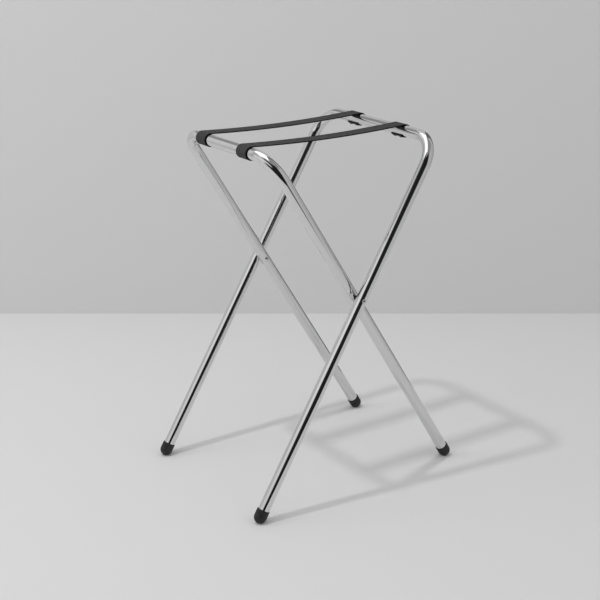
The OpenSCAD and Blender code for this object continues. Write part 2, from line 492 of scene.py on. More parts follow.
WEBBING = WebbingFinish(
    name="strap_webbing", slot=Slot.WEBBING, grain_size=0.0003, grain_breadth=60.0,
    # The gap tone is painted shade in the weave's gaps.
    thread_tone=(0.085, 0.085, 0.0855), gap_tone=(0.006, 0.006, 0.0063),
    yarn_pitch=0.00125, pick_pitch=0.0024, yarns_per_chevron=5, weave_depth=0.00028,
    # A darker selvedge, with painted shade along the strap's edges and side faces.
    selvedge=0.0034, selvedge_shade=0.02,
)


def add_object(name: str, data: Any) -> Object:
    """Put a new object into the scene.

    Args:
        name: Name of the object.
        data: Its mesh, camera or lamp.

    Returns:
        The object, at the origin.
    """
    made = bpy.data.objects.new(name, data)
    bpy.context.scene.collection.objects.link(made)
    return made


def add_piece(name: str, mesh: Mesh, finish: Finish, *nodes: str) -> Object:
    """Turn a mesh into a piece that stands for nodes of the solids.

    Args:
        name: Name of the piece.
        mesh: Mesh with its place in its points.
        finish: Finish that it takes.
        nodes: Nodes that it stands for.

    Returns:
        The piece, at the origin and on no body yet.
    """
    mesh.name = name
    mesh.materials.clear()
    mesh.materials.append(finish.material())
    made = add_object(name, mesh)
    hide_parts(*nodes)
    LOG.info("%s: %d faces, for %s", name, len(mesh.polygons), ", ".join(nodes))
    return made


def dress_solid(node: Object, finish: Finish) -> None:
    """Give a node that stays in view its finish.

    Args:
        node: Node of the solids.
        finish: Finish that it takes.
    """
    for slot in node.material_slots:
        slot.material = finish.material()
    LOG.info("%s: dressed as %s", node.name, finish.name)


def run_tree(tree: NodeTree, values: Mapping[str, Any], mesh: Mesh, wall: float = 0.0) -> Mesh:
    """Run a geometry tree on a mesh, and turn its result into a plain mesh.

    Args:
        tree: Geometry tree.
        values: Value of each named input.
        mesh: Mesh that goes into the tree and is then removed.
        wall: Thickness of a wall that grows inwards, or zero.

    Returns:
        The plain mesh, smooth apart from its sharp edges.
    """
    made = add_object(tree.name, mesh)
    modifier = made.modifiers.new(tree.name, "NODES")
    modifier.node_group = tree
    for item in tree.interface.items_tree:
        if item.in_out == "INPUT" and item.name in values:
            modifier[item.identifier] = values[item.name]
    if wall:
        shell = made.modifiers.new("wall", "SOLIDIFY")
        shell.thickness, shell.offset, shell.use_even_offset = wall, -1.0, True
    depsgraph = bpy.context.evaluated_depsgraph_get()
    result = bpy.data.meshes.new_from_object(made.evaluated_get(depsgraph), depsgraph=depsgraph)
    bpy.data.objects.remove(made)
    bpy.data.meshes.remove(mesh)
    result.set_sharp_from_angle(angle=SHARP_ANGLE)
    return result


def finish_tree(graph: Graph, shape: NodeSocket, given: Node, result: Node) -> NodeTree:
    """End a geometry tree in smooth shading, real geometry and its material.

    Args:
        graph: Graph of the tree.
        shape: Geometry to finish.
        given: Input node, with a Material socket.
        result: Output node.

    Returns:
        The tree.
    """
    for kind in ("SetShadeSmooth", "RealizeInstances", "SetMaterial"):
        last = graph.add(f"GeometryNode{kind}", {"Geometry": shape})
        shape = last.outputs["Geometry"]
    graph.put(last.inputs["Material"], given.outputs["Material"])
    graph.put(result.inputs["Geometry"], shape)
    return graph.tree


def geometry_group(name: str, inputs: Mapping[str, str]) -> tuple[Graph, Node, Node]:
    """Make a geometry tree with a shape and a material among its inputs, and a shape as output."""
    shape = {"Geometry": "Geometry"}
    return node_group("Geometry", name, {**shape, **inputs, "Material": "Material"}, shape)


@cache
def bent_tube_tree() -> NodeTree:
    """Geometry tree that rounds the corners of a path and sweeps a ring along it.

    Returns:
        The tree.
    """
    inputs = {"Tube Radius": "Float", "Bend Radius": "Float", "Bend Steps": "Int", "Sides": "Int"}
    graph, given, result = geometry_group("bent_tube", inputs)
    tube_radius, bend_radius, bend_steps, sides = (given.outputs[name] for name in inputs)
    path = graph.add("GeometryNodeMeshToCurve", {"Mesh": given.outputs["Geometry"]})
    bend = {"Curve": path.outputs["Curve"], "Count": bend_steps, "Radius": bend_radius}
    bent = graph.add("GeometryNodeFilletCurve", bend, mode="POLY")
    size = {"Resolution": sides, "Radius": tube_radius}
    ring = graph.add("GeometryNodeCurvePrimitiveCircle", size, mode="RADIUS")
    curves = {"Curve": bent.outputs["Curve"], "Profile Curve": ring.outputs["Curve"]}
    tube = graph.add("GeometryNodeCurveToMesh", curves)
    return finish_tree(graph, tube.outputs["Mesh"], given, result)


@cache
def fastener_row_tree() -> NodeTree:
    """Geometry tree that repeats one fastener along a straight row.

    Returns:
        The tree.
    """
    inputs = {"Count": "Int", "First Place": "Vector", "Step": "Vector"}
    graph, given, result = geometry_group("fastener_row", inputs)
    count, first, step = (given.outputs[name] for name in inputs)
    line = {"Count": count, "Start Location": first, "Offset": step}
    row = graph.add("GeometryNodeMeshLine", line, mode="OFFSET", count_mode="TOTAL")
    repeat = {"Points": row.outputs["Mesh"], "Instance": given.outputs["Geometry"]}
    placed = graph.add("GeometryNodeInstanceOnPoints", repeat)
    return finish_tree(graph, placed.outputs["Instances"], given, result)


def arc(centre: Pair, radius: float, start: float, end: float, steps: int) -> Profile:
    """Points of an arc from one angle in radians to another, both ends included."""
    angles = [start + (end - start) * k / steps for k in range(steps + 1)]
    return [(centre[0] + radius * cos(a), centre[1] + radius * sin(a)) for a in angles]


def dome(width: float, height: float, base: float, steps: int) -> Profile:
    """Profile of a round cap, from its rim to its tip.

    Args:
        width: Diameter at the rim.
        height: Height of the tip above the rim, negative for a cap that points down.
        base: Height of the rim.
        steps: Number of steps.

    Returns:
        The points, in order.
    """
    half, rise = width / 2, abs(height)
    ball = (half**2 + rise**2) / (2 * rise)
    rim = asin(min(1.0, half / ball))
    lift = copysign(1.0, height)
    turns = [rim * (1 - k / steps) for k in range(steps + 1)]
    return [(ball * sin(t), base + height + lift * ball * (cos(t) - 1)) for t in turns]


def washer(bore: float, rim: float, low: float, high: float, edge: float, steps: int) -> Profile:
    """Closed profile of a washer with its outer edges broken.

    Args:
        bore: Radius of its hole.
        rim: Radius of its rim.
        low: Height of its lower face.
        high: Height of its upper face.
        edge: Size of the broken edges.
        steps: Number of steps across each face.

    Returns:
        Points of radius and height.
    """
    flat = [k * (rim - edge - bore) / steps + bore for k in range(steps + 1)]
    under = [(radius, low) for radius in flat]
    over = [(radius, high) for radius in reversed(flat)]
    return [*under, (rim, low + edge), (rim, high - edge), *over]


def stitch(shape: bmesh.types.BMesh, low: Row, high: Row, closed: bool = True) -> None:
    """Add the faces between two rows of points, where a row may also be a single point.

    Args:
        shape: Shape that the points are in.
        low: First row.
        high: Second row.
        closed: Whether the rows run round and meet themselves.
    """
    sides = max(len(low), len(high))
    for k in range(sides if closed else sides - 1):
        ends = [(row[k % len(row)], row[(k + 1) % len(row)]) for row in (low, high)]
        shape.faces.new(list(dict.fromkeys([*ends[0], *reversed(ends[1])])))


def lathe(profile: Profile, sides: int, ring: bool = False) -> Mesh:
    """Turn a profile round Z into a closed mesh.

    Args:
        profile: Points of radius and height. A solid's profile starts and ends on the axis.
        sides: Number of sides.
        ring: Whether the profile is a closed loop off the axis.

    Returns:
        The mesh, smooth apart from its sharp edges.
    """
    shape = bmesh.new()
    rows = []
    for radius, height in profile:
        turns = [tau * k / sides for k in range(sides)] if radius > SAME_PLACE else [0.0]
        spots = [(radius * cos(t), radius * sin(t), height) for t in turns]
        rows.append([shape.verts.new(spot) for spot in spots])
    for low, high in zip(rows, rows[1:] + rows[:1] if ring else rows[1:]):
        stitch(shape, low, high)
    return closed_mesh(shape)


def closed_mesh(shape: bmesh.types.BMesh, sharp_angle: float = SHARP_ANGLE) -> Mesh:
    """Turn a closed bmesh into a mesh whose faces point outwards.

    Args:
        shape: Closed shape, which is freed.
        sharp_angle: Angle past which an edge stays sharp, in radians.

    Returns:
        The mesh.
    """
    bmesh.ops.remove_doubles(shape, verts=shape.verts, dist=SAME_PLACE)
    bmesh.ops.recalc_face_normals(shape, faces=shape.faces)
    mesh = bpy.data.meshes.new("piece")
    shape.to_mesh(mesh)
    shape.free()
    mesh.shade_smooth()
    mesh.set_sharp_from_angle(angle=sharp_angle)
    return mesh


@dataclass(frozen=True)
class Stance:
    """Sizes that the pieces share, and the places that follow from them."""

    bar_height: float = 0.776
    bar_span: float = 0.400
    foot_span: float = 0.532
    tube_d: float = 0.025
    tube_wall: float = 0.0012
    outer_width: float = 0.420
    leg_gap: float = 0.006
    bend_radius: float = 0.062
    cap_d: float = 0.0284
    cap_length: float = 0.0306
    cap_grip: float = 0.018
    cap_flat_depth: float = 0.0007
    strap_y: float = 0.0835

    @property
    def tube_r(self) -> float:
        """Outside radius of the tube."""
        return self.tube_d / 2

    @property
    def foot_z(self) -> float:
        """Height of the centre of a foot's dome."""
        return self.cap_d / 2 - self.cap_flat_depth

    @property
    def lean(self) -> float:
        """Angle of each frame from upright, in radians."""
        return atan2((self.bar_span + self.foot_span) / 2, self.bar_height - self.foot_z)

    @property
    def pivot_z(self) -> float:
        """Height of the pivot axis."""
        return self.bar_height - self.bar_span / 2 / tan(self.lean)

    @property
    def arm_up(self) -> float:
        """Length of a frame from the pivot axis to the top bar."""
        return (self.bar_height - self.pivot_z) / cos(self.lean)

    @property
    def arm_down(self) -> float:
        """Length of a frame from the pivot axis to the centre of a foot's dome."""
        return (self.pivot_z - self.foot_z) / cos(self.lean)

    @property
    def cap_rim(self) -> float:
        """Station of a cap's rim along the leg, from the centre of its dome."""
        return self.cap_length - self.cap_d / 2

    @property
    def leg_end(self) -> float:
        """Station of a leg's end along the leg, from the centre of its cap's dome."""
        return self.cap_rim - self.cap_grip

    def half(self, leg: Leg) -> float:
        """Distance of a frame's legs from the middle of the stand."""
        inset = 0.0 if leg is Leg.OUTER else self.tube_d + self.leg_gap
        return self.outer_width / 2 - inset

    def at_pivot(self, angle: float, axis: str) -> Matrix:
        """Place on the pivot axis, turned about one of the frame's axes."""
        return Matrix.Translation((0, 0, self.pivot_z)) @ Matrix.Rotation(angle, 4, axis)

    def leaning(self, leg: Leg) -> Matrix:
        """Place of a frame that is drawn upright round the pivot axis."""
        return self.at_pivot(leg.value * self.lean, "Y")

    def along_pivot(self, side: Side) -> Matrix:
        """Place of a piece whose Z runs out along the pivot axis, to one side."""
        return self.at_pivot(-side.value * RIGHT_ANGLE, "X")


@dataclass
class BentFrame:
    """One bent tube: two legs, two bends and the top bar between them."""

    stance: Stance
    leg: Leg
    sides: int = 112
    bend_steps: int = 72

    def path(self) -> Mesh:
        """Path of the tube's centre line, with square corners.

        Returns:
            A mesh of four points and three edges.
        """
        half, top = self.stance.half(self.leg), self.stance.arm_up
        foot = self.stance.leg_end - self.stance.arm_down
        corners = [(0, -half, foot), (0, -half, top), (0, half, top), (0, half, foot)]
        mesh = bpy.data.meshes.new(f"{self.leg.word}_path")
        mesh.from_pydata(corners, [(0, 1), (1, 2), (2, 3)], [])
        mesh.transform(self.stance.leaning(self.leg))
        return mesh

    def build(self) -> None:
        """Sweep the tube, give it its wall and put it on its body."""
        values = {
            "Tube Radius": self.stance.tube_r,
            "Bend Radius": self.stance.bend_radius,
            "Bend Steps": self.bend_steps,
            "Sides": self.sides,
            "Material": CHROME.material(),
        }
        mesh = run_tree(bent_tube_tree(), values, self.path(), self.stance.tube_wall)
        tube = add_piece(self.leg.tube, mesh, CHROME, f"{self.leg.word}_frame")
        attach(tube, self.leg.body)


@dataclass
class Pivot:
    """Rivet through one pair of crossing legs, with its washer and its spacer."""

    stance: Stance
    side: Side
    shank_d: float = 0.006
    head_d: float = 0.011
    head_height: float = 0.0028
    rim_round: float = 0.0004
    washer_d: float = 0.0115
    washer_thickness: float = 0.0012
    tail_d: float = 0.0095
    tail_height: float = 0.0024
    running_gap: float = 0.0003
    clearance: float = 0.00008
    seat_gap: float = 0.00003
    sides: int = 64
    steps: int = 10

    @property
    def washer_faces(self) -> Pair:
        """Stations of the washer's faces, the second one against the inner leg."""
        face = self.stance.half(Leg.INNER) - self.stance.tube_r - self.running_gap
        return face - self.washer_thickness, face

    def rivet_profile(self) -> Profile:
        """Profile of the rivet, from the tip of its tail to the tip of its head.

        Returns:
            Points of radius and station along the pivot axis.
        """
        tube = self.stance.tube_r
        cup = tube - sqrt(tube**2 - (self.head_d / 2) ** 2)
        head_face = self.stance.half(Leg.OUTER) + tube - cup
        tail_face = self.washer_faces[0] - self.seat_gap
        tail = dome(self.tail_d, -self.tail_height, tail_face, self.steps)[::-1]
        head = dome(self.head_d, self.head_height + cup, head_face, self.steps)
        shank = [(self.shank_d / 2, tail_face), (self.shank_d / 2, head_face)]
        return [*tail, *shank, (self.head_d / 2 - self.rim_round, head_face), *head]

    def washer_profile(self) -> Profile:
        """Closed profile of the washer, by radius and station along the pivot axis."""
        bore = self.shank_d / 2 + self.clearance
        return washer(bore, self.washer_d / 2, *self.washer_faces, self.rim_round, 1)

    def build(self, nodes: Mapping[str, Object]) -> None:
        """Turn the rivet and the washer, and dress the spacer.

        Args:
            nodes: Nodes of the solids, by name.
        """
        word = self.side.word
        turned = {
            "rivet": lathe(self.rivet_profile(), self.sides),
            "washer": lathe(self.washer_profile(), self.sides, ring=True),
        }
        for name, mesh in turned.items():
            mesh.transform(self.stance.along_pivot(self.side))
            made = add_piece(f"{word}_turned_{name}", mesh, STEEL, f"{word}_pivot_{name}")
            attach(made, Leg.OUTER.body)
        dress_solid(nodes[f"{word}_pivot_spacer"], NYLON)


@dataclass
class Strap:
    """Webbing strap over both bars, with its ends drawn round the outside and under each bar.

    The strap is made in three lengths: one that stays on each bar and leads off it, and the span
    between them.
    """

    stance: Stance
    side: Side
    width: float = WEBBING_WIDTH
    thickness: float = 0.0021
    sag: float = 0.006
    bar_gap: float = 0.0003
    neutral_offset: float = 0.001
    end_angle: float = radians(54)
    edge_round: float = 0.0007
    edge_steps: int = 4
    sharp_angle: float = 1.0
    roll_width: float = 0.0025
    roll_rise: float = 0.00015
    rib_pitch: float = 0.0025
    rib_height: float = 0.00005
    points_per_rib: int = 4
    wrap_step: float = 0.0014
    span_step: float = 0.0045
    least_step: float = 0.00001
    bead: float = 0.0016
    bead_rise: float = 0.28
    bead_tip: float = 0.35
    bead_zone: float = 1.2
    bead_steps: int = 6
    lead: float = 0.0224
    blend_start: float = 0.0032
    blend_length: float = 0.1784
    blend_rise: float = radians(28)

    @property
    def bar_radius(self) -> float:
        """Radius of the strap's middle layer round a bar."""
        return self.stance.tube_r + self.bar_gap + self.neutral_offset

    @property
    def span_reach(self) -> float:
        """Distance from the bars' centre lines to the centre of the span's arc."""
        return ((self.stance.bar_span / 2) ** 2 + self.sag**2) / (2 * self.sag)

    @property
    def span_radius(self) -> float:
        """Radius of the span's arc, at the strap's middle layer."""
        return self.span_reach - self.bar_radius

    @property
    def leave_angle(self) -> float:
        """Slope at which the span leaves a bar, in radians."""
        return asin(self.stance.bar_span / 2 / self.span_reach)

    @property
    def half_span(self) -> float:
        """Length of half the span, along the strap."""
        return self.span_radius * self.leave_angle

    @property
    def half_length(self) -> float:
        """Length of half the strap, from its middle to its cut end."""
        return self.half_span + self.bar_radius * (pi + self.end_angle + self.leave_angle)

    def station(self, distance: float) -> tuple[Vector, Vector]:
        """Point of the strap's middle layer, and the direction out of it.

        Args:
            distance: Distance along the strap from its middle, positive towards the outer bar.

        Returns:
            The point and the direction, in the XZ plane.
        """
        reach, height = abs(distance), self.stance.bar_height
        if reach <= self.half_span:
            turn = reach / self.span_radius
            out = Vector((-sin(turn), 0, cos(turn)))
            point = Vector((0, 0, height + self.span_reach - self.sag)) - self.span_radius * out
        else:
            turn = RIGHT_ANGLE + self.leave_angle - (reach - self.half_span) / self.bar_radius
            out = Vector((cos(turn), 0, sin(turn)))
            point = Vector((self.stance.bar_span / 2, 0, height)) + self.bar_radius * out
        flip = Vector((copysign(1.0, distance), 1, 1))
        return point * flip, out * flip

    def half_section(self, roll_rise: float) -> Profile:
        """One half of the strap's cross-section, from edge to edge.

        Args:
            roll_rise: Height by which the rolled selvedges stand above the face.

        Returns:
            Points of the place across the strap and the distance from its middle layer.
        """
        half, flank, edge = self.width / 2, self.thickness / 2, self.edge_round
        face = half - edge
        count = round(2 * face / self.rib_pitch) * self.points_per_rib
        top = []
        for k in range(1, count):
            y = face * (2 * k / count - 1)
            rib = self.rib_height * sin(pi * k / self.points_per_rib) ** 2
            inset = min(1.0, (face - abs(y)) / self.roll_width)
            top.append((y, flank + rib + roll_rise * (1 + cos(pi * inset)) / 2))
        corner = arc((face, flank + roll_rise - edge), edge, RIGHT_ANGLE, 0, self.edge_steps)
        return [(-half, 0), *[(-y, h) for y, h in reversed(corner)], *top, *corner, (half, 0)]

    def swell(self, distance: float) -> float:
        """Share of the strap's thickness at a place: the fused bead swells and then closes.

        Args:
            distance: Distance along the strap from its middle.

        Returns:
            The share, 1 outside the beads.
        """
        to_end = (self.half_length - abs(distance)) / self.bead
        if to_end >= 1.0:
            return 1.0
        closing = self.bead_tip + (1 - self.bead_tip) * sin(RIGHT_ANGLE * to_end)
        return (1 + self.bead_rise * sin(pi * to_end)) * closing

    def places(self, start: float, end: float) -> list[float]:
        """Stations of the cross-sections of one length of the strap.

        Args:
            start: First distance along the strap.
            end: Last distance along the strap.

        Returns:
            Distances, close together round the bars and wider across the span.
        """
        found = [start]
        while found[-1] < end:
            here = found[-1]
            on_bar = abs(here) > self.half_span - self.wrap_step
            step = self.wrap_step if on_bar else self.span_step
            if self.half_length - abs(here) < self.bead_zone * self.bead:
                step = self.bead / self.bead_steps
            found.append(min(here + step, end))
        if len(found) > 2 and found[-1] - found[-2] < self.least_step:
            found.pop(-2)
        return found

    def length_mesh(self, start: float, end: float) -> Mesh:
        """Closed mesh of one length of the strap, with its coordinates in metres.

        Args:
            start: First distance along the strap.
            end: Last distance along the strap.

        Returns:
            The mesh.
        """
        upper, lower = self.half_section(self.roll_rise), self.half_section(0.0)
        loop = upper + [(y, -h) for y, h in lower[-2:0:-1]]
        middle_y = self.side.value * self.stance.strap_y
        shape = bmesh.new()
        uv_layer = shape.loops.layers.uv.new(WEBBING_UV)
        fused = shape.verts.layers.float.new(FUSED)
        rows, marks = [], {}
        for distance in self.places(start, end):
            point, out = self.station(distance)
            swell = self.swell(distance)
            row = []
            for y, h in loop:
                vert = shape.verts.new(point + out * (h * swell) + Vector((0, middle_y + y, 0)))
                vert[fused] = 1.0 if self.half_length - abs(distance) < self.bead else 0.0
                marks[vert] = (y + self.width / 2, distance + self.half_length)
                row.append(vert)
            rows.append(row)
        for low, high in zip(rows, rows[1:]):
            stitch(shape, low, high)
        last = len(upper) - 1
        for row in (rows[0], rows[-1]):
            stitch(shape, row[: last + 1], [row[0], *row[:last:-1], row[last]], closed=False)
        for face in shape.faces:
            for corner in face.loops:
                corner[uv_layer].uv = marks[corner.vert]
        return closed_mesh(shape, self.sharp_angle)

    def build(self) -> None:
        """Make the three lengths."""
        word = self.side.word
        join = self.half_span - self.lead
        lengths = {
            f"{word}_webbing_outer_end": (join, self.half_length),
            f"{word}_webbing_span": (-join, join),
            f"{word}_webbing_inner_end": (-self.half_length, -join),
        }
        for (name, (start, end)), blend in zip(lengths.items(), self.blends(join)):
            mesh = self.length_mesh(start, end)
            made = add_piece(name, mesh, WEBBING, f"{word}_strap")
            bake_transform(made)

    def blends(self, join: float) -> list[tuple[Vector, Vector]]:
        """Where each length starts and ends its turn from the outer to the inner frame.

        Args:
            join: Distance of the joins from the middle of the strap.

        Returns:
            Start and end of the outer end, the span and the inner end.
        """
        top = self.stance.bar_height + self.bar_radius
        first = Vector((self.stance.bar_span / 2 - self.blend_start, 0, top))
        rise = Vector((-cos(self.blend_rise), 0, sin(self.blend_rise)))
        mirror = Vector((-1, 1, 1))
        joined, _ = self.station(join)
        share = (joined - first).dot(rise) / self.blend_length
        reach = joined.x / (1 - 2 * share)
        outer = (first, first + rise * self.blend_length)
        span = (Vector((reach, 0, joined.z)), Vector((-reach, 0, joined.z)))
        return [outer, span, (outer[1] * mirror, outer[0] * mirror)]


@dataclass
class StrapFastening:
    """Pair of blind rivets and washers that hold one strap end under its bar."""

    stance: Stance
    leg: Leg
    side: Side
    count: int = 2
    pitch: float = 0.022
    angle: float = radians(30)
    stack: float = 0.0151
    shank_d: float = 0.0048
    head_d: float = 0.009
    head_height: float = 0.001
    mandrel_d: float = 0.0026
    mandrel_depth: float = 0.0005
    bulb_d: float = 0.007
    bulb_length: float = 0.005
    washer_d: float = 0.011
    washer_thickness: float = 0.0006
    clearance: float = 0.00005
    seat_gap: float = 0.00003
    edge: float = 0.0002
    sides: int = 40
    steps: int = 8

    def rivet_profile(self) -> Profile:
        """Profile of a blind rivet that points down, from its set end to the well in its head.

        Returns:
            Points of radius and height, measured from the bar's centre line.
        """
        tube_bore = self.stance.tube_r - self.stance.tube_wall
        shank, bulb, well = self.shank_d / 2, self.bulb_d / 2, self.mandrel_d / 2
        edge = self.edge
        seat = -sqrt(tube_bore**2 - bulb**2) + self.seat_gap
        top = seat + self.bulb_length
        crest = self.stack + self.washer_thickness + self.seat_gap
        under = -sqrt(crest**2 - (self.head_d / 2) ** 2)
        cap = dome(self.head_d, -self.head_height - crest - under, under, self.steps)
        rim = [p for p in cap if p[0] > well + edge]
        lip = rim[-1][1]
        floor = -crest - self.head_height + self.mandrel_depth
        set_end = [(0, top), (bulb - edge, top), (bulb, top - edge), (bulb, seat), (shank, seat)]
        head = [(shank, under), *rim, (well + edge, lip), (well, lip + edge)]
        return [*set_end, *head, (well, floor), (0, floor)]

    def curved_washer(self) -> Mesh:
        """Washer below the bar's centre line, with each layer on an arc round the bar.

        Returns:
            The mesh.
        """
        bore, low = self.shank_d / 2 + self.clearance, -self.stack - self.washer_thickness
        flat = washer(bore, self.washer_d / 2, low, -self.stack, self.edge, self.steps)
        mesh = lathe(flat, self.sides, ring=True)
        for vert in mesh.vertices:
            vert.co.z = -sqrt(vert.co.z**2 - vert.co.x**2)
        return mesh

    def build(self) -> None:
        """Repeat the rivet and the washer along the strap's end."""
        place = f"{self.leg.word}_{self.side.word}"
        first_x = self.leg.value * self.stance.bar_span / 2
        first_y = self.side.value * self.stance.strap_y - self.pitch * (self.count - 1) / 2
        values = {
            "Count": self.count,
            "First Place": (first_x, first_y, self.stance.bar_height),
            "Step": (0.0, self.pitch, 0.0),
            "Material": BLACK.material(),
        }
        inwards = Matrix.Rotation(self.leg.value * self.angle, 4, "Y")
        rivet = lathe(self.rivet_profile(), self.sides)
        for name, fastener in {"rivets": rivet, "washers": self.curved_washer()}.items():
            fastener.transform(inwards)
            mesh = run_tree(fastener_row_tree(), values, fastener)
            made = add_piece(f"{place}_blind_{name}", mesh, BLACK, f"{place}_strap_{name}")
            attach(made, self.leg.body)


@dataclass
class FootCap:
    """Moulded cap on the end of one leg, with a domed tip that is flat where it stands."""

    stance: Stance
    leg: Leg
    side: Side
    lip: float = 0.0006
    lip_steps: int = 5
    mouth: float = 0.0003
    seat_gap: float = 0.00003
    mould_line: float = 0.00012
    mould_line_width: float = 0.0006
    sides: int = 72
    steps: int = 22

    def profile(self) -> Profile:
        """Profile of the cap along the leg, from the tip of its dome to the floor of its socket.

        Returns:
            Points of radius and station along the leg, from the centre of the dome.
        """
        radius, rim, floor = self.stance.cap_d / 2, self.stance.cap_rim, self.stance.leg_end
        socket = self.stance.tube_r + self.seat_gap
        half_line = self.mould_line_width / 2
        tip = arc((0, 0), radius, -RIGHT_ANGLE, -half_line / radius, self.steps)
        line = [(radius + self.mould_line, 0), (radius, half_line)]
        centre = (radius - self.lip, rim - self.lip)
        lip = arc(centre, self.lip, 0, RIGHT_ANGLE, self.lip_steps)
        mouth = [(socket + self.mouth, rim), (socket, rim - self.mouth)]
        return [(0, -radius), *tip[1:], *line, *lip, *mouth, (socket, floor), (0, floor)]

    def build(self) -> None:
        """Turn the cap, set it on its leg and cut it flat at the floor."""
        turned = lathe(self.profile(), self.sides)
        across = self.side.value * self.stance.half(self.leg)
        down = Matrix.Translation((0, across, -self.stance.arm_down))
        turned.transform(self.stance.leaning(self.leg) @ down)
        shape = bmesh.new()
        shape.from_mesh(turned)
        bpy.data.meshes.remove(turned)
        geometry = [*shape.verts, *shape.edges, *shape.faces]
        cut = bmesh.ops.bisect_plane(
            shape, geom=geometry, plane_co=(0, 0, 0), plane_no=(0, 0, -1), clear_outer=True
        )
        rim = [e for e in cut["geom_cut"] if isinstance(e, bmesh.types.BMEdge)]
        bmesh.ops.edgeloop_fill(shape, edges=rim)
        place = f"{self.leg.word}_{self.side.word}"
        made = add_piece(f"{place}_rubber_cap", closed_mesh(shape), RUBBER, f"{place}_foot")
        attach(made, self.leg.body)


@dataclass(frozen=True)
class PhotoCamera:
    """Camera at the photograph's viewing angle."""

    location: Triple = (-1.6044, -2.4041, 1.3659)
    azimuth: float = VIEW_TURN
    elevation: float = radians(17.942)
    focal_px: float = 1336.55
    axis_px: Pair = (356.5, 283.9)
    frame_px: float = 600.0
    sensor_mm: float = 36.0

    def build(self) -> None:
        """Make the camera and hand it to the scene."""
        data = bpy.data.cameras.new("photo_camera")
        data.sensor_width = self.sensor_mm
        data.lens = self.sensor_mm * self.focal_px / self.frame_px
        data.shift_x = 0.5 - self.axis_px[0] / self.frame_px
        data.shift_y = self.axis_px[1] / self.frame_px - 0.5
        camera = add_object("photo_camera", data)
        camera.location = self.location
        camera.rotation_euler = (RIGHT_ANGLE - self.elevation, 0, self.azimuth)
        bpy.context.scene.camera = camera


class Lights(Enum):
    """What a lamp lights: matt faces, or polished faces that mirror it."""

    MATT = "matt"
    POLISHED = "polished"


@dataclass(frozen=True)
class SoftBox:
    """Square studio lamp that points at the stand."""

    name: str
    location: Triple
    aim: Triple
    size: float
    power: float
    lights: Lights

    def build(self) -> None:
        """Hang the lamp and point it."""
        data = bpy.data.lights.new(self.name, "AREA")
        data.shape, data.size, data.energy = "SQUARE", self.size, self.power
        lamp = add_object(self.name, data)
        lamp.location = self.location
        lamp.rotation_mode = "QUATERNION"
        way = Vector(self.aim) - Vector(self.location)
        lamp.rotation_quaternion = way.to_track_quat("-Z", "Y")
        lamp.visible_camera = False
        lamp.visible_diffuse = self.lights is Lights.MATT
        lamp.visible_glossy = self.lights is Lights.POLISHED


@dataclass(frozen=True)
class MirroredPatch:
    """Part of the room that polished faces mirror, by its turn and its rise in degrees."""

    tone: float
    turn: Edges
    rise: Edges

    def mask(self, graph: Graph, turn: NodeSocket, rise: NodeSocket) -> NodeSocket:
        """Mask of the patch, for a ray's turn from straight ahead and its rise."""
        return graph.times(graph.between(turn, self.turn), graph.between(rise, self.rise))


